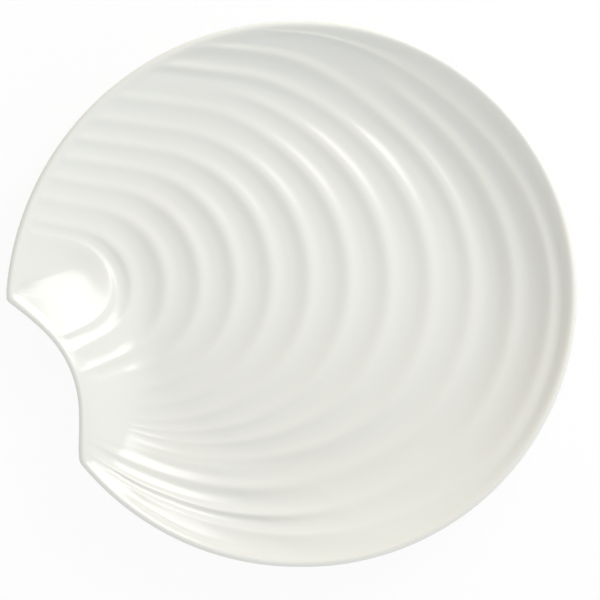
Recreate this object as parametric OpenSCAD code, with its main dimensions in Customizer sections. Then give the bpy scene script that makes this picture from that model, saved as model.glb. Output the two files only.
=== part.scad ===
// Scallop shell plate: a round, fluted porcelain coupe plate with a hinge tip and a bite in its edge.
// The plate stands on z = 0 and faces up. The hinge points along -X.

/* [Outline] */
// Radius of the round body, seen from above
plate_r = 130; // [110:1:160]
// How far the hinge tip stands out past the round body
tip_growth = 11.8; // [4:0.2:18]
// How far the heel below the bite stands out past the round body
heel_growth = 3.6; // [0:0.2:6]
// Radius of the bite in the hinge side
bite_r = 54; // [40:1:70]
// Depth of the bite inside the round body
bite_depth = 13; // [6:0.5:20]
// Direction of the bite from the middle of the round body, in degrees
bite_angle = 199.5; // [197:0.5:204]
// Length over which the two corners of the bite are rounded
corner_blend = 16; // [8:1:22]

/* [Bowl] */
// Height of the lip above the table
rim_h = 29; // [24:0.5:40]
// Radius of the level floor inside
floor_r = 79; // [70:1:90]
// Thickness of the floor at the flute crests
floor_t = 5.2; // [4.5:0.1:8]
// Sweep of the wall: 1 is a straight cone, 2 is a hollow curve
wall_sweep = 2; // [1.4:0.05:2.4]
// How far the bite's wall runs into the well at the hinge tip
bite_tip_run = 56; // [40:1:60]
// How far the bite's wall runs into the well at the heel
bite_heel_run = 27; // [22:1:30]
// Thickness of the wall at the lip
lip_t = 3.4; // [2.6:0.1:5]

/* [Flutes] */
// Depth of a flute at its deepest, at the lip
flute_depth = 2.4; // [0.4:0.05:2.5]
// Depth of the first flute, as a share of the one at the lip
first_depth = 0.5; // [0.3:0.05:1]
// Number of flutes between the first ring and the lip
flute_count = 12; // [8:1:13]
// Radius of the first ring, round the hinge
first_ring = 29.4; // [28:0.2:34]
// Radius of the small crest inside the first ring
hinge_ring = 24.2; // [18:0.2:26]
// How much wider apart the rings lie on the floor than on the wall
ring_spread = 0.3; // [0:0.01:0.32]
// Height of the most raised ring's centre above the plate's middle line
ring_lift = 7; // [0:0.5:10]
// Radius of the most raised ring
lift_ring = 74; // [60:1:90]
// Flatness of the rings' lower halves: 0 is round
ring_flat = 0.12; // [0:0.01:0.2]
// Flatness of the smallest rings' lower halves: 0 is round
hinge_flat = 0.2; // [0:0.01:0.3]
// How far the rings are drawn in along the heel
heel_draw = 14; // [0:0.5:16]
// How far the rings are drawn in along the top
top_draw = 3; // [0:0.5:5]
// Roundness of the crests between flutes: 0.1 is sharp, 0.5 is soft
crest_round = 0.25; // [0.1:0.05:0.5]
// Width of the smooth band inside the lip
smooth_band = 7; // [5:0.5:16]
// Width of the smooth band at the heel
heel_band = 16; // [10:1:34]

/* [Foot] */
// How far the middle of the foot ring lies inside the level floor
foot_inset = 9; // [6:0.5:14]
// Width of the foot ring
foot_w = 5; // [3:0.5:7]
// Height of the foot ring
foot_h = 3; // [2:0.2:5]
// Radius on the two lower edges of the foot ring
foot_round = 1.4; // [0.4:0.1:1.4]

/* [Hidden] */

// Facets of the plate: rows lie along the rings, columns run across them.
steps_per_flute = 5;
hinge_steps = 6;
columns = 44;
lip_angles = [90, 45, 0, -45];
outer_band = 2;
under_steps = 5;
foot_facets = 128;
edge_facets = 48;

// The lip is a round end on the slanted wall, from inner_angle on its inside to the last of lip_angles.
inner_angle = 135;
lip_mid_z = rim_h - lip_t / 2;
function lip_inset(angle) = lip_t / 2 * (1 - cos(angle));
function lip_z(angle) = lip_mid_z + lip_t / 2 * sin(angle);
inner_inset = lip_inset(inner_angle);
inner_z = lip_z(inner_angle);
inner_r = plate_r - inner_inset;

// The floor and the base under it
floor_z = foot_h + floor_t;
base_margin = 3.5;
foot_r = floor_r - foot_inset;
base_r = foot_r + foot_w / 2 + base_margin;

// The outline's growth past the round body: its directions in degrees, and how suddenly it sets in
tip_angle = 180;
heel_angle = 217;
tip_power = 1.35;
heel_power = 1.2;
bite_reach = plate_r - bite_depth + bite_r;
// Past its sides the bite's edge runs off by this much for each degree.
bite_runoff = 5;
// Directions from the bite's middle between which the bite's wall widens, from the heel to the hinge tip
run_turns = [-10, 60];
// The bite's wall sets in softly by the first power and goes on straight by the second number.
bite_sweep = 2.4;
bite_straight = 1.4;
// Sharpness of the valley between the bowl's wall and the bite's, at the heel and at the hinge tip
valley_powers = [2.5, 5];
// How late the wall is bent to meet the edge
edge_power = 6;
// The outside is level up to this share of the way from the base to the edge.
level_share = 0.25;
// Direction of the heel's smooth band and its reach to each side, in degrees
heel_band_angle = 212;
heel_band_reach = 22;

// The hinge is the point that the rings hang from. The last ring is the lip's own circle.
hinge = [-plate_r - tip_growth + lip_t / 8, lip_t / 2];
hang_power = 12;
// Radius of the smallest row of facets at the hinge
hinge_start = lip_t;
// Width over which the crest inside the first ring sinks towards the hinge
hinge_ease = 7;
// Rings up to this radius are flattened by hinge_flat.
flat_end = 36;
// A ring is an arc that goes on straight past these angles, given for the first ring and the last.
upper_arms = [79, 88];
lower_arms = [-60, -140];
// No ring's arc goes on past this angle.
last_arm = -122;

// Along the heel, rings are drawn in between these turns, and the more the nearer to the second radius.
heel_turns = [-38, -105];
heel_over = 1.1;
heel_turn_power = 1.25;
heel_rings = [65, 101];
// Towards the last of these radii the draw falls back to a share.
heel_tail_rings = [101, 117];
heel_tail = 0.43;
// Along the top, rings are drawn in most at this turn, and the more the nearer to the second radius.
top_turn = 60;
top_rings = [60, 118];
// Crests that end early: its number, the turn where it begins to sink, and how far its neighbours close in
short_crests = [[7, 70, 2.4], [10, 48, 4.6]];
short_fade = 18;
short_turns = [45, 92];
short_reach = 10;
short_lead = 0.7;

// Share of a flute's depth along a ring, by its turn: for the inner rings and for the outer ones
inner_depths = [[-88, 0.08], [-60, 0.45], [-30, 0.74], [10, 0.9], [36, 1], [60, 0.62], [78, 0.3]];
outer_depths = [
    [-110, 0.4], [-90, 1], [-70, 0.25], [-50, 0.35],
    [-28, 0.68], [36, 1], [60, 0.68], [80, 0.75]
];
// Shares of the way to the lip between which the outer rings' depths take over
bold_shares = [0.76, 0.84];
// Rings past these shares of the way to the lip are lost on the bite's wall, between these parts of its run.
lost_shares = [0.13, 0.3];
lost_runs = [0.5, 1.1];
// The first rings keep the depth that they have at this turn.
first_hold = -36;

function clamp(v, low, high) = min(max(v, low), high);
function mix(a, b, t) = a + (b - a) * t;
function smooth(t) = let (c = clamp(t, 0, 1)) c * c * (3 - 2 * c);
// Smooth way of a value from the first limit, at 0, to the second, at 1
function between(v, limits) = smooth((v - limits[0]) / (limits[1] - limits[0]));
function sum(list) = list * [for (v = list) 1];
function flat(lists) = [for (l = lists) each l];
function radius(p) = norm([p[0], p[1]]);
function heading(p) = whole_turn(atan2(p[1], p[0]));
function at(q, r, z) = [r * cos(q), r * sin(q), z];
function whole_turn(q) = q < 0 ? q + 360 : q;

// Outline

// How far the outline stands out past the round body in direction q
function growth(q) =
    q <= 90 || q >= 270 ? 0 :
    q <= tip_angle ? tip_growth * pow((q - 90) / (tip_angle - 90), tip_power) :
    q <= heel_angle ? mix(tip_growth, heel_growth, (q - tip_angle) / (heel_angle - tip_angle)) :
    heel_growth * pow((270 - q) / (270 - heel_angle), heel_power);

// Distance from the middle to the bite's edge, set back by inset
function bite_edge(q, inset) =
    let (
        r = bite_r + inset,
        side = asin(min(r / bite_reach, 1)),
        turn = min(abs(q - bite_angle), 90),
        within = min(turn, side)
    )
    bite_reach * cos(within) - sqrt(max(pow(r, 2) - pow(bite_reach * sin(within), 2), 0))
    + bite_runoff * (turn - within);

// The lesser of two lengths, rounded off where they are within the blend of each other
function soft_min(a, b, blend) = min(a, b) - pow(max(blend - abs(a - b), 0), 2) / (4 * blend);

// Distance from the middle to the outline in direction q, set back by inset
function edge(q, inset) = soft_min(plate_r + growth(q) - inset, bite_edge(q, inset), corner_blend);

// Place as seen from the middle of the bite's circle
function from_bite(q, r) = at(q, r, 0) - at(bite_angle, bite_reach, 0);

// Share of the way round the bite, from the heel, at 0, to the hinge tip, at 1
function round_bite(q, r) =
    let (p = from_bite(q, r))
    between(atan2(p[1], p[0]), run_turns);

// Distance of a place from the bite, as a share of the run of the bite's wall
function off_bite(q, r, inset) =
    (norm(from_bite(q, r)) - bite_r - inset) / mix(bite_heel_run, bite_tip_run, round_bite(q, r));

// The higher of the round bowl's wall and the bite's wall, with the valley between them filled
function two_walls(q, r, start_r, inset) =
    let (
        out = max((r - start_r) / (plate_r + growth(q) - inset - start_r), 0),
        up = max(1 - off_bite(q, r, inset), 0),
        bite = pow(up, bite_sweep) * (1 + bite_straight * (1 - up)),
        power = mix(valley_powers[0], valley_powers[1], round_bite(q, r))
    )
    pow(pow(out, wall_sweep * power) + pow(bite, power), 1 / power);

// Share of the height between a floor, at 0, and the outline, at 1, which the wall meets exactly
function climb(p, start_r, inset) =
    let (
        q = heading(p),
        r = radius(p),
        limit = edge(q, inset),
        out = clamp((r - start_r) / (limit - start_r), 0, 1),
        missing = 1 - two_walls(q, limit, start_r, inset)
    )
    two_walls(q, r, start_r, inset) + missing * pow(out, edge_power);

// Rings

// Radius of the ring at a share of the way from the first ring, at 0, to the lip, at 1
function ring_at(share) =
    first_ring + (inner_r - first_ring) * (share + ring_spread * pow(share, 3) * (1 - pow(share, 3)));

// Radius of the plain ring that runs where a drawn ring lies at a turn
function ring_drawn(ring, turn) =
    let (
        inside_lip = between(ring, [inner_r, ring_at(1 - 1 / flute_count)]),
        heel_way = clamp((turn - heel_turns[0]) / (heel_turns[1] - heel_turns[0]), 0, heel_over),
        heel_share = between(ring, heel_rings) * mix(1, heel_tail, between(ring, heel_tail_rings)),
        heel = heel_draw * heel_share * pow(heel_way, heel_turn_power),
        top_way = pow(sin(clamp(90 * turn / top_turn, 0, 180)), 2),
        top = top_draw * between(ring, top_rings) * top_way,
        pulls = [for (c = short_crests)
            c[2] * exp(-pow((ring - ring_at((c[0] - short_lead) / flute_count)) / short_reach, 2))]
    )
    ring + inside_lip * (between(turn, short_turns) * sum(pulls) - heel - top);

// Share of the way from the first ring to the lip, by radius
function ring_share(ring) = clamp((ring - first_ring) / (inner_r - first_ring), 0, 1);

function ring_centre(ring) = [
    mix(hinge[0], -inner_r, pow(ring / inner_r, hang_power)) + ring,
    ring < lift_ring ?
        max(ring_lift * (1 - pow((lift_ring - ring) / (inner_r - lift_ring), 2)), min(hinge[1], ring_lift)) :
        ring_lift * (1 - pow((ring - lift_ring) / (inner_r - lift_ring), 2))
];

// The part of a turn along a ring that lies on its arc
function ring_bend(ring, turn) =
    let (s = ring_share(ring_drawn(ring, turn)))
    clamp(turn, max(mix(lower_arms[0], lower_arms[1], s), last_arm), mix(upper_arms[0], upper_arms[1], s));

// Point of a ring at a turn from its right end, in degrees of the arc
function ring_point(ring, turn) =
    let (
        plain = ring_drawn(ring, turn),
        s = ring_share(plain),
        bend = ring_bend(ring, turn),
        run = (turn - bend) * PI / 180,
        p = plain * [cos(bend) - run * sin(bend), sin(bend) + run * cos(bend)],
        near_hinge = clamp((flat_end - ring) / (flat_end - hinge_ring), 0, 1),
        squash = turn < 0 ? 1 - ring_flat * s * (1 - pow(s, 4)) - hinge_flat * near_hinge : 1
    )
    ring_centre(plain) + [p[0], squash * p[1]];

// The turn at which a ring leaves the plate, between one that is inside and one that is outside
function leaving(ring, within, beyond, tries = 26) =
    let (
        middle = (within + beyond) / 2,
        p = ring_point(ring, middle),
        holds = radius(p) < edge(heading(p), inner_inset)
    )
    tries == 0 ? within :
    leaving(ring, holds ? middle : within, holds ? beyond : middle, tries - 1);

// A turn that is sure to be outside
function far_turn(ring) = 90 + 2 * plate_r / ring * 180 / PI;

// Height

// Height of the bowl inside, without its flutes
function bowl_z(p) = mix(floor_z, inner_z, climb(p, floor_r, inner_inset));

// Depth below the crests at a share of the way across a flute, from 0 to 1
function flute_shape(share) =
    (sqrt(pow(sin(180 * share), 2) + pow(crest_round, 2)) - crest_round)
    / (sqrt(1 + pow(crest_round, 2)) - crest_round);

// Width of the smooth band inside the lip in direction q
function band_width(q) = mix(smooth_band, heel_band, smooth(1 - abs(q - heel_band_angle) / heel_band_reach));

// Share of its depth that a flute has along a ring, on the bite's wall and in the smooth band
function flute_room(p, ring, turn) =
    let (
        q = heading(p),
        s = ring_share(ring),
        bold = between(s, bold_shares),
        lost = between(s, lost_shares),
        held = max(ring_bend(ring, turn), mix(first_hold, last_arm, lost)),
        depth = mix(lookup(held, inner_depths), lookup(held, outer_depths), bold),
        wall = lost * (1 - bold) * (1 - between(off_bite(q, radius(p), inner_inset), lost_runs))
    )
    depth * (1 - wall) * smooth((edge(q, inner_inset) - radius(p)) / band_width(q));

// Share of its height that the crest nearest to a place has, which is less where a short crest sinks
function standing(place, turn) =
    let (ends = [for (c = short_crests) if (c[0] == round(place) - 1) c[1]])
    len(ends) == 0 ? 1 : 1 - smooth((turn - ends[0]) / short_fade);

// Depth of a flute. Its place is counted in flutes, from the crest inside the first ring.
function flute_z(p, ring, turn, place) =
    flute_depth * mix(first_depth, 1, ring_share(ring)) * flute_room(p, ring, turn)
    * (1 - standing(place, turn) * (1 - flute_shape(place)));

// Plate body

// Each row is a ring's radius and its place across the flutes. The hinge lies half a flute before the first.
function hinge_place(ring) = -clamp((hinge_ring - ring) / hinge_ease, 0, 1) / 2;
hinge_rows = [for (i = [0 : hinge_steps - 1])
    let (ring = mix(hinge_start, hinge_ring, i / hinge_steps))
    [ring, hinge_place(ring)]];
first_rows = [for (i = [0 : steps_per_flute - 1])
    [mix(hinge_ring, first_ring, i / steps_per_flute), i / steps_per_flute]];
flute_rows = [for (i = [0 : flute_count * steps_per_flute - 1])
    [ring_at(i / flute_count / steps_per_flute), 1 + i / steps_per_flute]];
rows = concat(hinge_rows, first_rows, flute_rows);
last_row = len(rows);

function row_points(ring, place, low, high) = [for (j = [0 : columns])
    let (
        turn = mix(low, high, j / columns),
        p = ring_point(ring, turn)
    )
    [p[0], p[1], bowl_z(p) - flute_z(p, ring, turn, place)]];

ring_points = [for (row = rows)
    let (reach = far_turn(row[0]))
    row_points(row[0], row[1], leaving(row[0], 0, -reach), leaving(row[0], 0, reach))];

// The last row is the lip's inner edge, between the ends of the row before it.
row_gap = 2;
lip_low = heading(ring_points[last_row - 1][0]) - 360 + row_gap;
lip_high = heading(ring_points[last_row - 1][columns]) - row_gap;
lip_row = [for (j = [0 : columns])
    let (q = mix(lip_low, lip_high, j / columns))
    at(q, edge(whole_turn(q), inner_inset), inner_z)];

inside_points = concat(ring_points, [lip_row]);

tip_point = let (q = heading(hinge)) at(q, edge(q, inner_inset), inner_z);

// The order of the points round the inside's edge: from the tip over the top and back to the tip
function inside_index(i, j) = i * (columns + 1) + j;
tip_index = len(inside_points) * (columns + 1);
rim = concat(
    [tip_index],
    [for (i = [0 : last_row - 1]) inside_index(i, columns)],
    [for (j = [columns : -1 : 0]) inside_index(last_row, j)],
    [for (i = [last_row - 1 : -1 : 0]) inside_index(i, 0)]
);
rim_count = len(rim);

top_points = concat(flat(inside_points), [tip_point]);
rim_headings = [for (i = rim) heading(top_points[i])];

lip_points = [for (angle = lip_angles)
    [for (q = rim_headings) at(q, edge(q, lip_inset(angle)), lip_z(angle))]];

// The outside of the bowl, from the lip down to the base
under_angle = lip_angles[len(lip_angles) - 1];
under_inset = lip_inset(under_angle);
function under_point(q, out) =
    let (
        p = at(q, mix(base_r, edge(q, under_inset), out), 0),
        rise = climb(p, base_r, under_inset) * smooth(out / level_share)
    )
    [p[0], p[1], mix(foot_h, lip_z(under_angle), rise)];

under_points = [for (i = [under_steps - 1 : -1 : 0])
    [for (q = rim_headings) under_point(q, i / under_steps)]];

base_point = [0, 0, foot_h];
points = concat(top_points, flat(lip_points), flat(under_points), [base_point]);

// Bands run round the plate from the lip to the base. The band before the first is the inside's edge.
bands = len(lip_angles) + under_steps;
lip_start = len(top_points);
base_index = len(points) - 1;
function band_index(i, j) = i < 0 ? rim[j % rim_count] : lip_start + i * rim_count + j % rim_count;

function quad(a, b, c, d) = [[a, b, c], [a, c, d]];
inside_faces = [for (i = [0 : last_row - 1]) for (j = [0 : columns - 1])
    let (
        a = inside_index(i, j),
        b = inside_index(i + 1, j)
    )
    each quad(a, a + 1, b + 1, b)];
tip_faces = [for (j = [0 : columns - 1]) [tip_index, inside_index(0, j + 1), inside_index(0, j)]];
band_faces = [for (i = [-1 : bands - 2]) for (j = [0 : rim_count - 1])
    each quad(band_index(i, j), band_index(i + 1, j), band_index(i + 1, j + 1), band_index(i, j + 1))];
base_faces = [for (j = [0 : rim_count - 1])
    [base_index, band_index(bands - 1, j + 1), band_index(bands - 1, j)]];

// Place of the round body's middle when the plate's whole length is centred on x = 0
outer_x = [for (p = lip_points[outer_band]) p[0]];
middle_x = -(min(outer_x) + max(outer_x)) / 2;

module plate_body() {
    color("#F2F1EC")
    translate([middle_x, 0, 0])
    polyhedron(points, concat(inside_faces, tip_faces, band_faces, base_faces), convexity = 8);
}

// Foot ring: a turned ring with a flat top against the base, a flat standing face and two round edges
module foot_ring() {
    side = foot_w / 2;
    color("#E9E5DA")
    translate([middle_x, 0, 0])
    rotate_extrude($fn = foot_facets)
    translate([foot_r, 0])
    union() {
        translate([-side, foot_round]) square([foot_w, foot_h - foot_round]);
        translate([foot_round - side, 0]) square([foot_w - 2 * foot_round, foot_h]);
        for (x = [foot_round - side, side - foot_round])
            translate([x, foot_round]) circle(foot_round, $fn = edge_facets);
    }
}

plate_body();
foot_ring();
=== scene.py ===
"""Scallop shell plate: a round, fluted porcelain coupe plate with a hinge tip and a bite in its rim.

The plate stands on z = 0 in the shared frame and faces up, and its hinge points along -X. Sizes are in
millimetres, as a potter would give them, and become metres where a mesh is made.
"""

import logging
import math
from dataclasses import dataclass, field
from enum import Enum
from typing import ClassVar

import bmesh
import bpy
import numpy as np
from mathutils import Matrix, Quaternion, Vector


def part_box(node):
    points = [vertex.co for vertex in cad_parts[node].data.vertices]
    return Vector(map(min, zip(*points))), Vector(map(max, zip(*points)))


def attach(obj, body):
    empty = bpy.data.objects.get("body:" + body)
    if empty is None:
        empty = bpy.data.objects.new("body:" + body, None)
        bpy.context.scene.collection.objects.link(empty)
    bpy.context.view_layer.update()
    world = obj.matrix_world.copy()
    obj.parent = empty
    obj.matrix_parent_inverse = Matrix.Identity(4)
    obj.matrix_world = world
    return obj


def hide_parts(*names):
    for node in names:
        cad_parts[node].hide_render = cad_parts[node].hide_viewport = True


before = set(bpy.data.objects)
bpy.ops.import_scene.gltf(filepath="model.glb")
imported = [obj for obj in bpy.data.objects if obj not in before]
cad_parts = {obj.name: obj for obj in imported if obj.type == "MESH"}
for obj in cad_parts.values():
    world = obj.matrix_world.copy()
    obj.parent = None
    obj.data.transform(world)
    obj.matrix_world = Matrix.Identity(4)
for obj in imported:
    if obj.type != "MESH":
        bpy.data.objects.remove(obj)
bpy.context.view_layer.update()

MM: float = 0.001
# Points closer than this, in metres, are one point.
MERGE: float = 1e-7
# Radians that a wave texture runs through over one unit at a scale of 1.
WAVE_RATE: float = 20.0

log = logging.getLogger("shell_plate")

Array = np.ndarray
Pair = tuple[float, float]
Colour = tuple[float, float, float, float]
Tree = bpy.types.NodeTree


class Node(Enum):
    """The solids that the pieces of this scene stand for."""

    PLATE_BODY = "plate_body"
    FOOT_RING = "foot_ring"


class Slot(Enum):
    """The record's material slots."""

    GLAZED = "glazed_porcelain"
    BARE = "bare_porcelain"


class Trace(Enum):
    """Attributes that the plate's mesh carries from the bowl to the flutes and the glaze."""

    PLACE = "flute_place"
    SHARE = "ring_share"
    ROOM = "flute_room"
    CREST = "crest_height"
    HOLLOW = "flute_hollow"


def linear(hex_colour: str) -> Colour:
    """Turn an sRGB hex colour into the linear values that a shader takes.

    Args:
        hex_colour: Six hex digits after a hash sign.

    Returns:
        Linear red, green and blue, and an alpha of 1.
    """
    parts = [int(hex_colour[i:i + 2], 16) / 255 for i in (1, 3, 5)]
    red, green, blue = (c / 12.92 if c <= 0.04045 else ((c + 0.055) / 1.055) ** 2.4 for c in parts)
    return red, green, blue, 1.0


def per_metre(size: float) -> float:
    """Return the scale at which a texture's cell measures size millimetres."""
    return 1 / (size * MM)


def headings(x: Array, y: Array) -> Array:
    """Return directions from the middle, from 0 to 360 degrees."""
    return np.degrees(np.arctan2(y, x)) % 360


def spots(heading: Array | float, radius: Array | float) -> tuple[Array, Array]:
    """Return places along X and Y, from directions in degrees and distances from the middle."""
    return radius * np.cos(np.radians(heading)), radius * np.sin(np.radians(heading))


def part_way(start: Array | float, end: Array | float, share: Array) -> Array:
    """Return the value at each share of the way from start to end."""
    return start + (end - start) * share


def way_from(value: Array, start: Array | float, end: Array | float) -> Array:
    """Return each value's share of the way from start to end, held between 0 and 1."""
    return np.clip((value - start) / (end - start), 0, 1)


def eased(value: Array, start: Array | float, end: Array | float) -> Array:
    """Return each value's share of the way from start to end, which starts and ends gently."""
    share = way_from(value, start, end)
    return share * share * (3 - 2 * share)


def add_node(
    tree: Tree,
    kind: str,
    inputs: dict[int | str, object] | None = None,
    **settings: object,
) -> bpy.types.Node:
    """Add a node with its settings, and link or set its inputs.

    Args:
        tree: The node tree to add to.
        kind: The node's type name.
        inputs: By index or name, a value to set or an output to link from. A node stands for the first
            output that it has in use.
        settings: The node's own properties.

    Returns:
        The new node.
    """
    node = tree.nodes.new(kind)
    for name, value in settings.items():
        setattr(node, name, value)
    for key, value in (inputs or {}).items():
        if isinstance(value, bpy.types.Node):
            value = next(output for output in value.outputs if not output.is_unavailable)
        if isinstance(value, bpy.types.NodeSocket):
            tree.links.new(value, node.inputs[key])
        else:
            node.inputs[key].default_value = value
    return node


def new_material(name: str) -> tuple[bpy.types.Material, Tree]:
    """Make a material with an empty node tree.

    Args:
        name: What the material is.

    Returns:
        The material and its tree.
    """
    material = bpy.data.materials.new(name)
    material.use_nodes = True
    material.node_tree.nodes.clear()
    return material, material.node_tree


def new_geometry_tree(name: str, sockets: dict[str, str]) -> Tree:
    """Make a Geometry Nodes tree with named inputs and one geometry output.

    Args:
        name: The tree's name.
        sockets: The type of each input, by its name.

    Returns:
        The tree.
    """
    tree = bpy.data.node_groups.new(name, "GeometryNodeTree")
    for label, kind in sockets.items():
        tree.interface.new_socket(label, in_out="INPUT", socket_type=kind)
    tree.interface.new_socket("Geometry", in_out="OUTPUT", socket_type="NodeSocketGeometry")
    return tree


def close_tree(tree: Tree, made: bpy.types.Node, material: bpy.types.NodeSocket) -> None:
    """End a Geometry Nodes tree with a smooth, realized and dressed mesh.

    Args:
        tree: The tree to end.
        made: The node that gives the mesh so far.
        material: The material that dresses it.
    """
    smooth = add_node(tree, "GeometryNodeSetShadeSmooth", {"Geometry": made, "Shade Smooth": True})
    real = add_node(tree, "GeometryNodeRealizeInstances", {"Geometry": smooth})
    dressed = add_node(tree, "GeometryNodeSetMaterial", {"Geometry": real, "Material": material})
    add_node(tree, "NodeGroupOutput", {0: dressed})


def new_object(name: str, data: bpy.types.ID) -> bpy.types.Object:
    """Put a new object into the scene.

    Args:
        name: The object's name.
        data: Its mesh, lamp or camera.

    Returns:
        The object.
    """
    made = bpy.data.objects.new(name, data)
    bpy.context.scene.collection.objects.link(made)
    return made


def settle(piece: bpy.types.Object, tree: Tree, values: dict[str, object]) -> None:
    """Run a Geometry Nodes tree on a piece and keep the result as its plain mesh.

    Args:
        piece: The object whose mesh goes in and is replaced.
        tree: The tree to run.
        values: The value of each input, by its name.
    """
    modifier = piece.modifiers.new(tree.name, "NODES")
    modifier.node_group = tree
    for socket in tree.interface.items_tree:
        if socket.in_out == "INPUT" and socket.name in values:
            modifier[socket.identifier] = values[socket.name]
    depsgraph = bpy.context.evaluated_depsgraph_get()
    made = bpy.data.meshes.new_from_object(
        piece.evaluated_get(depsgraph), preserve_all_data_layers=True, depsgraph=depsgraph
    )
    before = piece.data
    piece.modifiers.remove(modifier)
    piece.data = made
    bpy.data.meshes.remove(before)
    made.name = piece.name


def face_outwards(mesh: bpy.types.Mesh) -> None:
    """Merge doubled points and turn every face outwards.

    Args:
        mesh: A closed mesh.
    """
    form = bmesh.new()
    form.from_mesh(mesh)
    bmesh.ops.remove_doubles(form, verts=form.verts, dist=MERGE)
    bmesh.ops.recalc_face_normals(form, faces=form.faces)
    form.to_mesh(mesh)
    form.free()


@dataclass(frozen=True)
class GlazedPorcelain:
    """Slip-cast porcelain under a clear gloss glaze.

    The clay is a slightly warm white. The glaze lies thicker in the hollows, where it looks a little
    greyer and greener, and it has set with a faint waviness that makes its highlights swim.
    """

    clay: str = "#E9EAE5"
    warm_clay: str = "#E9E8DE"
    pooled: str = "#E3E4DF"
    pool_share: float = 0.45
    # Sizes of the drift between the two clays, of the dull breath on the gloss and of the waves.
    drift: float = 90.0
    breath: float = 35.0
    wave: float = 22.0
    wave_height: float = 0.05
    smooth_rough: float = 0.12
    dull_rough: float = 0.17
    ior: float = 1.52

    def material(self) -> bpy.types.Material:
        """Make the glaze over its clay.

        Returns:
            The material.
        """
        material, tree = new_material("Gloss glazed porcelain")
        place = add_node(tree, "ShaderNodeTexCoord").outputs["Object"]
        drift, breath, wave = (
            add_node(
                tree, "ShaderNodeTexNoise", {"Vector": place, "Scale": per_metre(size), "Detail": detail}
            )
            for size, detail in ((self.drift, 2.0), (self.breath, 3.0), (self.wave, 1.0))
        )
        clays = {"Factor": drift, "A": linear(self.clay), "B": linear(self.warm_clay)}
        clay = add_node(tree, "ShaderNodeMix", clays, data_type="RGBA")
        hollow = add_node(tree, "ShaderNodeAttribute", attribute_name=Trace.HOLLOW.value).outputs["Fac"]
        pooled = add_node(tree, "ShaderNodeMath", {0: hollow, 1: self.pool_share}, operation="MULTIPLY")
        colours = {"Factor": pooled, "A": clay, "B": linear(self.pooled)}
        colour = add_node(tree, "ShaderNodeMix", colours, data_type="RGBA")
        gloss = {"Value": breath, "To Min": self.smooth_rough, "To Max": self.dull_rough}
        rough = add_node(tree, "ShaderNodeMapRange", gloss)
        bump = add_node(tree, "ShaderNodeBump", {"Height": wave, "Distance": self.wave_height * MM})
        surface = {"Base Color": colour, "Roughness": rough, "Normal": bump, "IOR": self.ior}
        shader = add_node(tree, "ShaderNodeBsdfPrincipled", surface)
        add_node(tree, "ShaderNodeOutputMaterial", {"Surface": shader})
        return material


@dataclass(frozen=True)
class BarePorcelain:
    """The foot of a porcelain plate, glazed down to a line above its bare, ground standing edge.

    The bare clay is a warm, chalky white with fine grit. Grinding has left faint rings round the foot.
    """

    clay: str = "#DDD8CB"
    grit_clay: str = "#CFC8B8"
    glazed: str = "#EAE9E5"
    # Real grit and grinding marks measure about 0.1 mm. Both are drawn coarser, so that they show.
    grit: float = 0.9
    ring_gap: float = 0.8
    ring_height: float = 0.02
    ring_wander: float = 0.6
    bare_rough: float = 0.72
    glazed_rough: float = 0.16
    glaze_line: float = 1.1
    glaze_fade: float = 0.5
    glaze_wander: float = 6.0
    ior: float = 1.5

    def material(self, middle: float) -> bpy.types.Material:
        """Make the foot's material.

        Args:
            middle: Place of the foot's centre along X, in millimetres.

        Returns:
            The material.
        """
        material, tree = new_material("Ground bare porcelain")
        place = add_node(tree, "ShaderNodeTexCoord").outputs["Object"]
        grit, wander = (
            add_node(
                tree, "ShaderNodeTexNoise", {"Vector": place, "Scale": per_metre(size), "Detail": detail}
            )
            for size, detail in ((self.grit, 3.0), (self.glaze_wander, 2.0))
        )
        clays = {"Factor": grit, "A": linear(self.clay), "B": linear(self.grit_clay)}
        clay = add_node(tree, "ShaderNodeMix", clays, data_type="RGBA")
        lowest, highest = (self.glaze_line + side * self.glaze_fade for side in (-1, 1))
        lines = {"Value": wander, "To Min": lowest * MM, "To Max": highest * MM}
        line = add_node(tree, "ShaderNodeMapRange", lines)
        height = add_node(tree, "ShaderNodeSeparateXYZ", {0: place}).outputs["Z"]
        above = add_node(tree, "ShaderNodeMath", {0: height, 1: line}, operation="SUBTRACT")
        fade = {"Value": above, "From Min": 0.0, "From Max": self.glaze_fade * MM}
        glazed = add_node(tree, "ShaderNodeMapRange", fade)
        colours = {"Factor": glazed, "A": clay, "B": linear(self.glazed)}
        colour = add_node(tree, "ShaderNodeMix", colours, data_type="RGBA")
        gloss = {"Value": glazed, "To Min": self.bare_rough, "To Max": self.glazed_rough}
        rough = add_node(tree, "ShaderNodeMapRange", gloss)
        shift = {"Vector": place, "Location": (-middle * MM, 0.0, 0.0)}
        centred = add_node(tree, "ShaderNodeMapping", shift)
        scale = per_metre(self.ring_gap) * 2 * math.pi / WAVE_RATE
        rings = add_node(
            tree,
            "ShaderNodeTexWave",
            {"Vector": centred, "Scale": scale, "Distortion": self.ring_wander},
            wave_type="RINGS",
            rings_direction="Z",
        )
        marks = {"Height": rings.outputs["Fac"], "Distance": self.ring_height * MM}
        bump = add_node(tree, "ShaderNodeBump", marks)
        surface = {"Base Color": colour, "Roughness": rough, "Normal": bump, "IOR": self.ior}
        shader = add_node(tree, "ShaderNodeBsdfPrincipled", surface)
        add_node(tree, "ShaderNodeOutputMaterial", {"Surface": shader})
        return material


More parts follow.
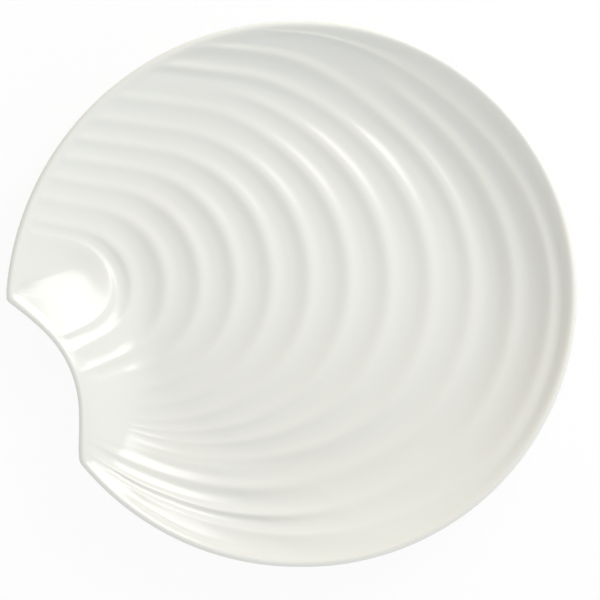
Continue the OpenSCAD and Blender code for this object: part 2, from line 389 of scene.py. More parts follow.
@dataclass(frozen=True)
class Outline:
    """The plate's edge from above, as a distance from the middle of its round body in each direction."""

    round_r: float = 130.0
    # Directions, in degrees, between which the edge grows out of its circle.
    growth_start: float = 90.0
    growth_end: float = 270.0
    tip_growth: float = 11.8
    tip_angle: float = 180.0
    tip_power: float = 1.35
    heel_growth: float = 3.6
    heel_angle: float = 217.0
    heel_power: float = 1.2
    bite_r: float = 54.0
    bite_depth: float = 13.0
    bite_angle: float = 199.5
    bite_runoff: float = 5.0
    corner_blend: float = 16.0
    wall_sweep: float = 2.0
    # How far the bite's wall runs into the well, and the turns round the bite between which that grows.
    tip_run: float = 56.0
    heel_run: float = 33.0
    run_turns: Pair = (-10.0, 60.0)
    bite_sweep: float = 2.4
    bite_straight: float = 1.4
    # How sharply the two walls meet, at the heel and at the tip.
    valley_powers: Pair = (2.5, 5.0)
    edge_power: float = 6.0

    def growth(self, heading: Array) -> Array:
        """Give how far the edge stands out past the round body.

        Args:
            heading: Directions in degrees.

        Returns:
            The distance in each direction.
        """
        to_tip = way_from(heading, self.growth_start, self.tip_angle)
        past_tip = way_from(heading, self.tip_angle, self.heel_angle)
        to_heel = way_from(heading, self.growth_end, self.heel_angle)
        rising = self.tip_growth * to_tip ** self.tip_power
        between = part_way(self.tip_growth, self.heel_growth, past_tip)
        falling = self.heel_growth * to_heel ** self.heel_power
        beyond = np.where(heading <= self.heel_angle, between, falling)
        return np.where(heading <= self.tip_angle, rising, beyond)

    def bite_reach(self) -> float:
        """Return the distance from the round body's middle to the bite's."""
        return self.round_r - self.bite_depth + self.bite_r

    def bite_edge(self, heading: Array, inset: float) -> Array:
        """Give the distance to the bite's edge.

        Args:
            heading: Directions in degrees.
            inset: How far the edge is set back into the plate.

        Returns:
            The distance in each direction.
        """
        radius, reach = self.bite_r + inset, self.bite_reach()
        side = math.degrees(math.asin(min(radius / reach, 1)))
        turn = np.minimum(np.abs(heading - self.bite_angle), 90)
        within = np.minimum(turn, side)
        angle = np.radians(within)
        chord = np.sqrt(np.maximum(radius ** 2 - (reach * np.sin(angle)) ** 2, 0))
        return reach * np.cos(angle) - chord + self.bite_runoff * (turn - within)

    def edge(self, heading: Array, inset: float) -> Array:
        """Give the distance to the plate's edge, with the bite's corners rounded.

        Args:
            heading: Directions in degrees.
            inset: How far the edge is set back into the plate.

        Returns:
            The distance in each direction.
        """
        body = self.round_r + self.growth(heading) - inset
        bite = self.bite_edge(heading, inset)
        near = np.maximum(self.corner_blend - np.abs(body - bite), 0)
        return np.minimum(body, bite) - near ** 2 / (4 * self.corner_blend)

    def off_bite(self, heading: Array, radius: Array, inset: float) -> tuple[Array, Array]:
        """Give how far places lie from the bite, whose wall runs further into the well at the hinge tip.

        Args:
            heading: Directions in degrees.
            radius: Distances from the round body's middle.
            inset: How far the edge is set back.

        Returns:
            Shares of the wall's run, from 0 at the bite's edge to 1 at the wall's foot, and the share of
            the way round the bite, from 0 at the heel to 1 at the hinge tip.
        """
        centre = spots(self.bite_angle, self.bite_reach())
        x, y = (place - middle for place, middle in zip(spots(heading, radius), centre))
        way = eased(np.degrees(np.arctan2(y, x)), *self.run_turns)
        run = part_way(self.heel_run, self.tip_run, way)
        return (np.hypot(x, y) - self.bite_r - inset) / run, way

    def two_walls(self, heading: Array, radius: Array, start_r: float, inset: float) -> Array:
        """Give the higher of the round bowl's wall and the bite's wall, with the valley between filled.

        Args:
            heading: Directions in degrees.
            radius: Distances from the round body's middle.
            start_r: Radius of the floor that the bowl's wall sweeps up from.
            inset: How far the edge is set back.

        Returns:
            Heights, where 0 is the floor's and 1 the edge's.
        """
        out = (radius - start_r) / (self.round_r + self.growth(heading) - inset - start_r)
        bowl = np.maximum(out, 0) ** self.wall_sweep
        off_bite, way = self.off_bite(heading, radius, inset)
        up = np.maximum(1 - off_bite, 0)
        bite = up ** self.bite_sweep * (1 + self.bite_straight * (1 - up))
        power = part_way(*self.valley_powers, way)
        return (bowl ** power + bite ** power) ** (1 / power)

    def climb(self, x: Array, y: Array, start_r: float, inset: float) -> Array:
        """Give the height of the wall between the floor and the edge, which it meets exactly.

        Args:
            x: Places along X from the round body's middle.
            y: Places along Y from the round body's middle.
            start_r: Radius of the floor.
            inset: How far the edge is set back.

        Returns:
            Shares of the height, from 0 on the floor to 1 at the edge.
        """
        heading, radius = headings(x, y), np.hypot(x, y)
        edge = self.edge(heading, inset)
        out = way_from(radius, start_r, edge)
        missing = 1 - self.two_walls(heading, edge, start_r, inset)
        return self.two_walls(heading, radius, start_r, inset) + missing * out ** self.edge_power


@dataclass(frozen=True)
class GrowthRings:
    """The rings of the shell. They hang from the hinge, and the last one is the lip's own circle."""

    # Radii, from the rows at the hinge to the lip. The rings' centres are moved along Y by the lift.
    hinge_start: float = 3.4
    hinge_ring: float = 24.2
    hinge_ease: float = 7.0
    first: float = 29.4
    last: float = 127.098
    count: int = 12
    spread: float = 0.3
    spread_power: int = 3
    lift: float = 7.0
    lift_ring: float = 74.0
    # How much the rings' lower halves are flattened.
    flatness: float = 0.12
    flat_power: int = 4
    hinge_flatness: float = 0.2
    flat_end: float = 36.0
    hinge: Pair = (-141.375, 1.7)
    hang_power: float = 12.0
    # Turns, in degrees, at which the arcs of the first and the last ring go over into straight arms.
    upper_arms: Pair = (79.0, 88.0)
    lower_arms: Pair = (-60.0, -140.0)
    last_arm: float = -122.0
    # How far, in which rings and at which turns the rings are drawn in towards the heel and the top.
    heel_draw: float = 14.0
    heel_from: float = 65.0
    heel_peak: float = 101.0
    heel_tail: float = 0.43
    heel_tail_ring: float = 117.0
    heel_turns: Pair = (-38.0, -105.0)
    heel_power: float = 1.25
    heel_over: float = 1.1
    top_draw: float = 3.0
    top_turn: float = 60.0
    top_from: float = 60.0
    top_peak: float = 118.0
    # Crests that run out: the ring's number, the turn where it starts to fade, and the room it leaves.
    short_crests: tuple[tuple[int, float, float], ...] = ((7, 70.0, 2.4), (10, 48.0, 4.6))
    short_fade: float = 18.0
    short_lead: float = 0.7
    short_reach: float = 10.0
    short_turns: Pair = (45.0, 92.0)

    def at(self, share: Array) -> Array:
        """Return the radius of the ring at each share of the way from the first ring to the lip."""
        power = share ** self.spread_power
        return part_way(self.first, self.last, share + self.spread * power * (1 - power))

    def share(self, ring: Array) -> Array:
        """Return each ring's share of the way from the first ring to the lip, by radius."""
        return way_from(ring, self.first, self.last)

    def centre(self, ring: Array) -> tuple[Array, Array]:
        """Give the rings' centres.

        Args:
            ring: Radii of the rings.

        Returns:
            The centres' places along X and Y.
        """
        hang = (ring / self.last) ** self.hang_power
        x = self.hinge[0] + (-self.last - self.hinge[0]) * hang + ring
        y = self.lift * (1 - ((ring - self.lift_ring) / (self.last - self.lift_ring)) ** 2)
        return x, np.where(ring < self.lift_ring, np.maximum(y, min(self.hinge[1], self.lift)), y)

    def drawn(self, ring: Array, turn: Array) -> Array:
        """Draw the outer rings in along their two sides, and into the room that a short crest leaves.

        Args:
            ring: Radii of the rings at their right ends.
            turn: Turns from the rings' right ends, in degrees.

        Returns:
            The radii of the plain rings that run through these places.
        """
        inside_lip = eased(ring, self.last, self.at(np.float64(1 - 1 / self.count)))
        rising = eased(ring, self.heel_from, self.heel_peak)
        falling = eased(ring, self.heel_peak, self.heel_tail_ring)
        start, end = self.heel_turns
        heel_way = np.clip((turn - start) / (end - start), 0, self.heel_over) ** self.heel_power
        heel = self.heel_draw * rising * part_way(1.0, self.heel_tail, falling) * heel_way
        top_way = np.sin(np.radians(np.clip(90 * turn / self.top_turn, 0, 180))) ** 2
        top = self.top_draw * eased(ring, self.top_from, self.top_peak) * top_way
        short_way = eased(turn, *self.short_turns)
        pull = np.zeros_like(ring)
        for number, _, amount in self.short_crests:
            room = self.at(np.float64((number - self.short_lead) / self.count))
            pull = pull + amount * np.exp(-((ring - room) / self.short_reach) ** 2)
        return ring + inside_lip * (pull * short_way - heel - top)

    def standing(self, place: Array, turn: Array) -> Array:
        """Give how much of its height the nearest crest has, which is less where a short crest runs out.

        Args:
            place: Places across the flutes, counted in flutes from the hinge's crest.
            turn: Turns from the rings' right ends, in degrees.

        Returns:
            Shares of the full height.
        """
        nearest = np.rint(place) - 1
        share = np.ones(np.broadcast(place, turn).shape)
        for number, end, _ in self.short_crests:
            share = np.where(nearest == number, 1 - eased(turn, end, end + self.short_fade), share)
        return share

    def bend(self, ring: Array, turn: Array) -> Array:
        """Give the part of a turn along a ring that lies on its arc.

        Args:
            ring: Radii of the rings.
            turn: Turns from the rings' right ends, in degrees.

        Returns:
            The turns, held between the two ends of each arc.
        """
        share = self.share(self.drawn(ring, turn))
        low, high = part_way(*self.lower_arms, share), part_way(*self.upper_arms, share)
        return np.clip(turn, np.maximum(low, self.last_arm), high)

    def point(self, ring: Array, turn: Array) -> tuple[Array, Array]:
        """Give points along rings, which go on straight past the ends of their arcs.

        Args:
            ring: Radii of the rings.
            turn: Turns from the rings' right ends, in degrees of the arc.

        Returns:
            The points' places along X and Y.
        """
        plain = self.drawn(ring, turn)
        share = self.share(plain)
        bend = self.bend(ring, turn)
        run = np.radians(turn - bend)
        cos, sin = np.cos(np.radians(bend)), np.sin(np.radians(bend))
        near_hinge = way_from(ring, self.flat_end, self.hinge_ring)
        flat = self.flatness * share * (1 - share ** self.flat_power) + self.hinge_flatness * near_hinge
        squash = np.where(turn < 0, 1 - flat, 1.0)
        x, y = self.centre(plain)
        return x + plain * (cos - run * sin), y + squash * plain * (sin + run * cos)


@dataclass
class PlateBody:
    """The glazed body: a dished bowl whose inside is cut by flutes along the growth rings."""

    # The numbers that the flute tree takes: their names in the sums below, and on the modifier.
    FLUTE_INPUTS: ClassVar[dict[str, str]] = {
        "depth": "Flute depth",
        "first": "First flute's share",
        "growth": "Growth power",
        "soft": "Crest roundness",
        "narrow": "Crest narrowness",
    }
    # The flutes' section, step by step: a name, a Math node's operation, and numbers or earlier names.
    FLUTE_SUMS: ClassVar[tuple[tuple[str | float, ...], ...]] = (
        ("soft_square", "MULTIPLY", "soft", "soft"),
        ("angle", "MULTIPLY", Trace.PLACE.value, math.pi),
        ("wave", "SINE", "angle"),
        ("wave_square", "MULTIPLY_ADD", "wave", "wave", "soft_square"),
        ("rounded", "SQRT", "wave_square"),
        ("deep", "SUBTRACT", "rounded", "soft"),
        ("full_square", "ADD", "soft_square", 1.0),
        ("full", "SQRT", "full_square"),
        ("deepest", "SUBTRACT", "full", "soft"),
        ("scoop", "DIVIDE", "deep", "deepest"),
        ("crest", "SUBTRACT", 1.0, "scoop"),
        ("ridge", "POWER", "crest", "narrow"),
        ("standing", "MULTIPLY", "ridge", Trace.CREST.value),
        ("scooped", "SUBTRACT", 1.0, "standing"),
        ("growing", "SUBTRACT", 1.0, "first"),
        ("way", "POWER", Trace.SHARE.value, "growth"),
        ("grown", "MULTIPLY_ADD", "way", "growing", "first"),
        ("room", "MULTIPLY", "grown", Trace.ROOM.value),
        ("hollow", "MULTIPLY", "scooped", "room"),
        ("deepened", "MULTIPLY", "hollow", "depth"),
        ("sunk", "MULTIPLY", "deepened", -1.0),
    )
    middle: float
    outline: Outline = field(default_factory=Outline)
    rings: GrowthRings = field(default_factory=GrowthRings)
    glaze: GlazedPorcelain = field(default_factory=GlazedPorcelain)
    rim_h: float = 29.0
    lip_t: float = 3.4
    floor_r: float = 79.0
    floor_z: float = 8.2
    base_r: float = 76.0
    base_z: float = 3.0
    level_share: float = 0.25
    # The flutes' full depth, the first flute's share of it, and the power by which it grows.
    flute_depth: float = 2.0
    first_depth: float = 0.52
    growth_power: float = 0.4
    crest_round: float = 0.7
    crest_power: float = 1.3
    # Turns along the inner and the outer rings, in degrees, and the share of the depth there.
    inner_depths: tuple[Pair, ...] = (
        (-88, 0.08), (-60, 0.45), (-30, 0.8), (10, 0.97), (36, 0.96), (60, 0.62), (78, 0.36)
    )
    outer_depths: tuple[Pair, ...] = (
        (-110, 0.5), (-90, 1.2), (-70, 0.3), (-50, 0.4), (-28, 0.9),
        (10, 1.4), (36, 1.2), (60, 0.65), (76, 1.1),
    )
    # Shares of the way to the lip where the outer rings' depth takes over, before and after these turns.
    bold_turns: Pair = (30.0, 62.0)
    lower_bold: Pair = (0.76, 0.84)
    upper_bold: Pair = (0.62, 0.78)
    # Rings past these shares lose their flutes on the bite's wall, between these shares of its run. The
    # first rings keep the depth of one turn all the way to their lower ends.
    lost_shares: Pair = (0.09, 0.25)
    lost_runs: Pair = (0.5, 1.1)
    first_hold: float = -36.0
    # The band under the lip that has no flutes, which is wider round the heel.
    smooth_band: float = 4.5
    heel_band: float = 16.0
    heel_band_angle: float = 212.0
    heel_band_reach: float = 22.0
    inner_angle: float = 135.0
    outer_angle: float = -45.0
    steps_per_flute: int = 15
    hinge_steps: int = 18
    columns: int = 220
    lip_steps: int = 12
    under_steps: int = 16
    halvings: int = 30
    row_gap: float = 0.8

    def lip_inset(self, angle: float) -> float:
        """Return how far the lip's round end is set back at an angle."""
        return self.lip_t / 2 * (1 - math.cos(math.radians(angle)))

    def lip_z(self, angle: float) -> float:
        """Return the height of the lip's round end at an angle."""
        return self.rim_h - self.lip_t / 2 + self.lip_t / 2 * math.sin(math.radians(angle))

    def rows(self) -> tuple[Array, Array]:
        """Lay out the rows of the inside's mesh.

        Returns:
            Each row's ring radius, and its place across the flutes, counted in flutes.
        """
        rings, steps = self.rings, self.steps_per_flute
        hinge = np.linspace(rings.hinge_start, rings.hinge_ring, self.hinge_steps, endpoint=False)
        first = np.linspace(rings.hinge_ring, rings.first, steps, endpoint=False)
        flutes = rings.at(np.linspace(0, 1, rings.count * steps, endpoint=False))
        # Before the first crest the inside sinks into half a flute, up to the hinge.
        before = -0.5 * way_from(hinge, rings.hinge_ring, rings.hinge_ring - rings.hinge_ease)
        place = np.concatenate([before, np.arange(steps * (rings.count + 1)) / steps])
        return np.concatenate([hinge, first, flutes]), place

    def leaving(self, ring: Array, side: int) -> Array:
        """Find the turn at which each ring leaves the plate.

        Args:
            ring: Radii of the rings.
            side: 1 for the upper ends, -1 for the lower ends.

        Returns:
            The last turn of each ring that is on the plate, in degrees.
        """
        inset = self.lip_inset(self.inner_angle)
        within = np.zeros_like(ring)
        beyond = side * (90 + np.degrees(2 * self.outline.round_r / ring))
        for _ in range(self.halvings):
            middle = (within + beyond) / 2
            x, y = self.rings.point(ring, middle)
            holds = np.hypot(x, y) < self.outline.edge(headings(x, y), inset)
            within = np.where(holds, middle, within)
            beyond = np.where(holds, beyond, middle)
        return within

    def flute_room(self, x: Array, y: Array, ring: Array, bend: Array) -> Array:
        """Give how much of its depth a flute has where its rings lie close together or the lip is near.

        Args:
            x: Places along X from the round body's middle.
            y: Places along Y from the round body's middle.
            ring: Radii of the rings.
            bend: Turns along the rings' arcs, in degrees.

        Returns:
            Shares of the full depth.
        """
        heading, radius, inset = headings(x, y), np.hypot(x, y), self.lip_inset(self.inner_angle)
        heel = eased(np.abs(heading - self.heel_band_angle), self.heel_band_reach, 0.0)
        band = part_way(self.smooth_band, self.heel_band, heel)
        to_lip = self.outline.edge(heading, inset) - radius
        share = self.rings.share(ring)
        lost = eased(share, *self.lost_shares)
        upper = eased(bend, *self.bold_turns)
        bold = eased(share, *(part_way(a, b, upper) for a, b in zip(self.lower_bold, self.upper_bold)))
        held = np.maximum(bend, part_way(self.first_hold, self.rings.last_arm, lost))
        inner, outer = (np.interp(held, *zip(*depths)) for depths in (self.inner_depths, self.outer_depths))
        off_bite, _ = self.outline.off_bite(heading, radius, inset)
        wall = lost * (1 - bold) * (1 - eased(off_bite, *self.lost_runs))
        return part_way(inner, outer, bold) * eased(to_lip, 0.0, band) * (1 - wall)

    def inside(self) -> tuple[Array, dict[Trace, Array]]:
        """Lay the inside's points along the rings, from the hinge to the lip.

        Returns:
            Points by row and column, in millimetres from the round body's middle, and their traces.
        """
        ring, place = (values[:, None] for values in self.rows())
        inset, top = self.lip_inset(self.inner_angle), self.lip_z(self.inner_angle)
        across = np.linspace(0, 1, self.columns + 1)
        turn = part_way(self.leaving(ring, -1), self.leaving(ring, 1), across)
        x, y = self.rings.point(ring, turn)
        z = part_way(self.floor_z, top, self.outline.climb(x, y, self.floor_r, inset))
        room = self.flute_room(x, y, ring, self.rings.bend(ring, turn))
        ends = headings(x[-1, [0, -1]], y[-1, [0, -1]])
        lip = np.linspace(ends[0] - 360 + self.row_gap, ends[1] - self.row_gap, self.columns + 1)
        lip_row = self.lip_ring(lip % 360, self.inner_angle)
        points = np.concatenate([np.stack([x, y, z], -1), lip_row[None]])
        # Each trace along the rings, and on the lip's own row.
        traces = {
            Trace.PLACE: (place, 0.0),
            Trace.SHARE: (self.rings.share(ring), 1.0),
            Trace.ROOM: (room, 0.0),
            Trace.CREST: (self.rings.standing(place, turn), 1.0),
        }
        return points, {
            trace: np.pad(np.broadcast_to(values, x.shape), ((0, 1), (0, 0)), constant_values=on_lip)
            for trace, (values, on_lip) in traces.items()
        }

    def bowl(self) -> bpy.types.Mesh:
        """Make the closed bowl with a smooth inside, whose points know their place among the flutes.

        Returns:
            The mesh, in metres.
        """
        inside, traces = self.inside()
        rows, columns = inside.shape[0] - 1, self.columns
        index = np.arange((rows + 1) * (columns + 1)).reshape(rows + 1, columns + 1)
        tip = self.lip_ring(headings(*np.array(self.rings.hinge)[:, None]), self.inner_angle)
        points = [inside.reshape(-1, 3), tip]
        rim = np.concatenate([[index.size], index[:-1, -1], index[-1, ::-1], index[-2::-1, 0]])
        rim_points = np.concatenate(points)[rim]
        quads = np.stack([index[:-1, :-1], index[1:, :-1], index[1:, 1:], index[:-1, 1:]], -1)
        faces: list[list[int]] = quads.reshape(-1, 4).tolist()
        faces += [[index.size, a, b] for a, b in zip(index[0, :-1].tolist(), index[0, 1:].tolist())]
        band, total = rim, index.size + 1
        for ring in self.outside(headings(rim_points[:, 0], rim_points[:, 1])):
            points.append(ring)
            below = np.arange(total, total + len(ring))
            total += len(ring)
            faces += np.stack([band, np.roll(band, -1), np.roll(below, -1), below], -1).tolist()
            band = below
        points.append(np.array([[0.0, 0.0, self.base_z]]))
        faces += [[total, a, b] for a, b in zip(np.roll(band, -1).tolist(), band.tolist())]
        placed = (np.concatenate(points) + [self.middle, 0.0, 0.0]) * MM
        mesh = bpy.data.meshes.new(Node.PLATE_BODY.value)
        mesh.from_pydata(placed.tolist(), [], faces)
        for trace, values in traces.items():
            held = np.zeros(len(placed), dtype=np.float32)
            held[:values.size] = values.ravel()
            mesh.attributes.new(trace.value, "FLOAT", "POINT").data.foreach_set("value", held)
        return mesh

    def lip_ring(self, heading: Array, angle: float) -> Array:
        """Give points along the lip's round end.

        Args:
            heading: Directions in degrees.
            angle: Where the points lie on the round end, in degrees.

        Returns:
            One point for each direction.
        """
        x, y = spots(heading, self.outline.edge(heading, self.lip_inset(angle)))
        return np.stack([x, y, np.full_like(x, self.lip_z(angle))], -1)

    def outside(self, heading: Array) -> list[Array]:
        """Lay bands of points round the plate, over the lip and down its outside to the base.

        Args:
            heading: Directions of the points of each band, in degrees.

        Returns:
            The bands, from the lip to the base.
        """
        angles = np.linspace(self.inner_angle, self.outer_angle, self.lip_steps + 1)[1:]
        bands = [self.lip_ring(heading, angle) for angle in angles]
        inset, top = self.lip_inset(self.outer_angle), self.lip_z(self.outer_angle)
        edge = self.outline.edge(heading, inset)
        for out in np.linspace(1, 0, self.under_steps + 1)[1:]:
            x, y = spots(heading, part_way(self.base_r, edge, out))
            rise = self.outline.climb(x, y, self.base_r, inset) * eased(out, 0.0, self.level_share)
            bands.append(np.stack([x, y, part_way(self.base_z, top, rise)], -1))
        return bands

    def flute_tree(self) -> Tree:
        """Build the tree that cuts a hollow between each two growth rings.

        Returns:
            The tree.
        """
        tree = new_geometry_tree("Growth-ring flutes", {
            "Geometry": "NodeSocketGeometry",
            **dict.fromkeys(self.FLUTE_INPUTS.values(), "NodeSocketFloat"),
            "Glaze": "NodeSocketMaterial",
        })
        given = add_node(tree, "NodeGroupInput").outputs
        known: dict[str, object] = {name: given[label] for name, label in self.FLUTE_INPUTS.items()}
        for trace in (Trace.PLACE, Trace.SHARE, Trace.ROOM, Trace.CREST):
            known[trace.value] = add_node(
                tree, "GeometryNodeInputNamedAttribute", {"Name": trace.value}, data_type="FLOAT"
            )
        for name, operation, *values in self.FLUTE_SUMS:
            inputs = {i: known.get(value, value) for i, value in enumerate(values)}
            known[name] = add_node(tree, "ShaderNodeMath", inputs, operation=operation)
        hollow = {"Geometry": given["Geometry"], "Name": Trace.HOLLOW.value, "Value": known["hollow"]}
        kept = add_node(
            tree, "GeometryNodeStoreNamedAttribute", hollow, data_type="FLOAT", domain="POINT"
        )
        offset = add_node(tree, "ShaderNodeCombineXYZ", {"Z": known["sunk"]})
        cut = add_node(tree, "GeometryNodeSetPosition", {"Geometry": kept, "Offset": offset})
        close_tree(tree, cut, given["Glaze"])
        return tree

    def build(self) -> bpy.types.Object:
        """Make the body, cut its flutes, glaze it and put it in the frame.

        Returns:
            The finished piece.
        """
        mesh = self.bowl()
        face_outwards(mesh)
        piece = new_object("glazed_plate_body", mesh)
        settle(piece, self.flute_tree(), {
            "Flute depth": self.flute_depth * MM,
            "First flute's share": self.first_depth,
            "Growth power": self.growth_power,
            "Crest roundness": self.crest_round,
            "Crest narrowness": self.crest_power,
            "Glaze": self.glaze.material(),
        })
        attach(piece, "root")
        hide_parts(Node.PLATE_BODY.value)
        return piece


@dataclass
class FootRing:
    """The ring that the plate stands on, with a cove of glaze where it meets the base."""

    middle: float
    finish: BarePorcelain = field(default_factory=BarePorcelain)
    radius: float = 70.0
    width: float = 5.0
    height: float = 3.0
    edge_round: float = 1.4
    cove: float = 1.2
    edge_steps: int = 8
    steps_round: int = 256

    def profile(self) -> Array:
        """Draw the ring's section, from its outer cove round the standing face to its inner cove.

        Returns:
            Points of the closed section: the distance from its middle, and the height.
        """
        turn = np.linspace(0, math.pi / 2, self.edge_steps + 1)
        near, far = 1 - np.cos(turn), 1 - np.sin(turn)
        cove = np.stack([self.width / 2 + self.cove * far, self.height - self.cove * near], -1)
        edge = np.stack([self.width / 2 - self.edge_round * near, self.edge_round * far], -1)
        outer = np.concatenate([cove, edge])
        return np.concatenate([outer, outer[::-1] * [-1, 1]])

    def sweep_tree(self) -> Tree:
        """Build the tree that sweeps the section round the foot's circle.

        Returns:
            The tree.
        """
        tree = new_geometry_tree("Foot ring sweep", {
            "Section": "NodeSocketGeometry",
            "Ring radius": "NodeSocketFloat",
            "Steps round": "NodeSocketInt",
            "Ring centre": "NodeSocketVector",
            "Clay": "NodeSocketMaterial",
        })
        given = add_node(tree, "NodeGroupInput").outputs
        round_path = {"Resolution": given["Steps round"], "Radius": given["Ring radius"]}
        circle = add_node(tree, "GeometryNodeCurvePrimitiveCircle", round_path, mode="RADIUS")
        upright = add_node(tree, "GeometryNodeSetCurveNormal", {"Curve": circle}, mode="Z_UP")
        section = add_node(tree, "GeometryNodeMeshToCurve", {"Mesh": given["Section"]})
        swept = add_node(tree, "GeometryNodeCurveToMesh", {"Curve": upright, "Profile Curve": section})
        moved = {"Geometry": swept, "Translation": given["Ring centre"]}
        close_tree(tree, add_node(tree, "GeometryNodeTransform", moved), given["Clay"])
        return tree

    def build(self) -> bpy.types.Object:
        """Make the ring, dress it and put it in the frame.

        Returns:
            The finished piece.
        """
        section = self.profile()
        count = len(section)
        mesh = bpy.data.meshes.new(Node.FOOT_RING.value)
        points = [(x * MM, -z * MM, 0.0) for x, z in section]
        mesh.from_pydata(points, [(i, (i + 1) % count) for i in range(count)], [])
        piece = new_object("bare_foot_ring", mesh)
        settle(piece, self.sweep_tree(), {
            "Ring radius": self.radius * MM,
            "Steps round": self.steps_round,
            "Ring centre": (self.middle * MM, 0.0, 0.0),
            "Clay": self.finish.material(self.middle),
        })
        face_outwards(piece.data)
        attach(piece, "root")
        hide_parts(Node.FOOT_RING.value)
        return piece


@dataclass(frozen=True)
class Softbox:
    """A lamp behind a cloth, aimed at the plate. The cloth grows darker towards its four sides."""

    name: str
    azimuth: float
    elevation: float
    distance: float
    width: float
    height: float
    radiance: float
    colour: str = "#FFFFFF"
    fade: float = 0.4
    roll: float = 0.0
    mirrored: bool = True

    def dress(self, tree: Tree) -> None:
        """Let the light fade towards the sides of the cloth.

        Args:
            tree: The lamp's own node tree.
        """
        tree.nodes.clear()
        place = add_node(tree, "ShaderNodeNewGeometry").outputs["Parametric"]
        # Places from 0 to 1 across the cloth become -1 to 1 from its middle.
        middle = {0: place, 1: (2.0, 2.0, 0.0), 2: (-1.0, -1.0, 0.0)}
        centred = add_node(tree, "ShaderNodeVectorMath", middle, operation="MULTIPLY_ADD")
        aside = add_node(tree, "ShaderNodeVectorMath", {0: centred}, operation="ABSOLUTE")
        split = add_node(tree, "ShaderNodeSeparateXYZ", {0: aside})
        across, along = (
            add_node(
                tree,
                "ShaderNodeMapRange",
                {"Value": split.outputs[axis], "From Min": 1.0, "From Max": 1 - self.fade},
                interpolation_type="SMOOTHSTEP",
            )
            for axis in ("X", "Y")
        )
        strength = add_node(tree, "ShaderNodeMath", {0: across, 1: along}, operation="MULTIPLY")
        glow = {"Color": linear(self.colour), "Strength": strength}
        light = add_node(tree, "ShaderNodeEmission", glow)
        add_node(tree, "ShaderNodeOutputLight", {"Surface": light})

    def build(self) -> None:
        """Hang the lamp."""
        lamp = bpy.data.lights.new(self.name, "AREA")
        lamp.shape = "RECTANGLE"
        lamp.size, lamp.size_y = self.width, self.height
        lamp.energy = self.radiance * math.pi * self.width * self.height
        lamp.use_nodes = True
        self.dress(lamp.node_tree)
        holder = new_object(self.name, lamp)
        around, up = math.radians(self.azimuth), math.radians(self.elevation)
        away = Vector((math.cos(around) * math.cos(up), math.sin(around) * math.cos(up), math.sin(up)))
        holder.location = away * self.distance
        rolled = Quaternion((0.0, 0.0, 1.0), math.radians(self.roll))
        holder.rotation_euler = ((-away).to_track_quat("-Z", "Y") @ rolled).to_euler()
        holder.visible_glossy = self.mirrored


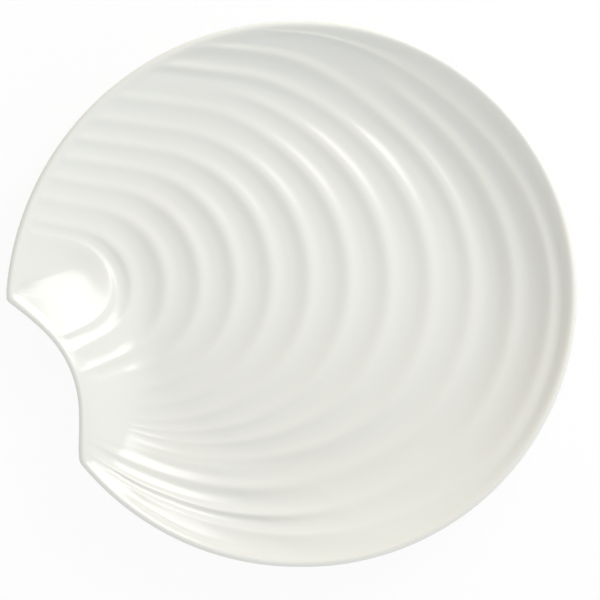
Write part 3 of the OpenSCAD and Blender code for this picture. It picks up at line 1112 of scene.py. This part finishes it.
@dataclass
class Studio:
    """A white paper floor in a soft room, with three lamps and a camera straight above.

    A softbox stands towards the upper right of the picture. A cool fill stands towards its lower side and
    a warm bounce towards its left, and neither shows in the glaze.
    """

    lamps: tuple[Softbox, ...] = (
        Softbox("softbox", 49.0, 30.0, 1.0, width=0.77, height=1.09, radiance=4.5, fade=0.6, roll=22.0),
        Softbox("fill", -80.0, 20.0, 2.8, 2.8, 1.4, radiance=1.9, colour="#DCE8FF", mirrored=False),
        Softbox("bounce", 145.0, 15.0, 1.4, 1.2, 0.6, radiance=0.6, colour="#FFC070", mirrored=False),
    )
    room_light: float = 0.662
    paper: str = "#FAFAFA"
    white: str = "#FFFFFF"
    # Half of the floor's width, in metres, and the share of pure white in what is seen of it.
    floor_half: float = 6.0
    floor_white: float = 0.9
    # Width and middle of what the camera sees at the sharp height.
    frame_width: float = 285.4
    frame_middle: Pair = (3.88, -2.95)
    sharp_z: float = 28.0
    camera_z: float = 2400.0
    sensor: float = 36.0

    def seen_white(self, tree: Tree) -> bpy.types.Node:
        """Tell apart the rays that the camera sees, directly, by reflection or through glass.

        Args:
            tree: The node tree to add to.

        Returns:
            A node that gives 1 for these rays and 0 for all others.
        """
        path = add_node(tree, "ShaderNodeLightPath").outputs
        seen = path["Is Camera Ray"]
        for kind in ("Is Glossy Ray", "Is Transmission Ray"):
            seen = add_node(tree, "ShaderNodeMath", {0: seen, 1: path[kind]}, operation="MAXIMUM")
        return seen

    def floor(self) -> None:
        """Lay the paper floor, which looks white and still takes a faint shadow."""
        material, tree = new_material("White studio paper")
        paper = add_node(tree, "ShaderNodeBsdfDiffuse", {"Color": linear(self.paper)})
        glow = add_node(tree, "ShaderNodeEmission", {"Color": linear(self.white), "Strength": 1.0})
        share = add_node(
            tree, "ShaderNodeMath", {0: self.seen_white(tree), 1: self.floor_white}, operation="MULTIPLY"
        )
        mixed = add_node(tree, "ShaderNodeMixShader", {0: share, 1: paper, 2: glow})
        add_node(tree, "ShaderNodeOutputMaterial", {"Surface": mixed})
        half = self.floor_half
        mesh = bpy.data.meshes.new("paper_floor")
        corners = [(-half, -half, 0), (half, -half, 0), (half, half, 0), (-half, half, 0)]
        mesh.from_pydata(corners, [], [(0, 1, 2, 3)])
        mesh.materials.append(material)
        piece = new_object("paper_floor", mesh)

    def room(self) -> None:
        """Fill the room with even light, and let it look white."""
        world = bpy.data.worlds.new("soft room")
        world.use_nodes = True
        tree = world.node_tree
        tree.nodes.clear()
        levels = {"Value": self.seen_white(tree), "To Min": self.room_light, "To Max": 1.0}
        strength = add_node(tree, "ShaderNodeMapRange", levels)
        glow = {"Color": linear(self.white), "Strength": strength}
        light = add_node(tree, "ShaderNodeBackground", glow)
        add_node(tree, "ShaderNodeOutputWorld", {"Surface": light})
        bpy.context.scene.world = world

    def camera(self) -> None:
        """Set the camera straight above the plate, as in the photograph."""
        lens = bpy.data.cameras.new("camera")
        lens.sensor_fit = "HORIZONTAL"
        lens.sensor_width = self.sensor
        lens.lens = self.sensor * (self.camera_z - self.sharp_z) / self.frame_width
        holder = new_object("camera", lens)
        holder.location = (self.frame_middle[0] * MM, self.frame_middle[1] * MM, self.camera_z * MM)
        bpy.context.scene.camera = holder

    def build(self) -> None:
        """Set up the floor, the light and the camera."""
        self.floor()
        self.room()
        for lamp in self.lamps:
            lamp.build()
        self.camera()
        bpy.context.scene.view_settings.view_transform = "Standard"


def main() -> None:
    """Build the studio and each piece of the plate."""
    logging.basicConfig(level=logging.INFO, format="%(name)s: %(message)s")
    Studio().build()
    outline = Outline()
    # The round body reaches furthest along +X, so its middle lies one radius back from there.
    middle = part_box(Node.PLATE_BODY.value)[1].x / MM - outline.round_r
    for part in (PlateBody(middle, outline), FootRing(middle)):
        piece = part.build()
        log.info("%s: %d faces", piece.name, len(piece.data.polygons))


if __name__ == "__main__":
    main()
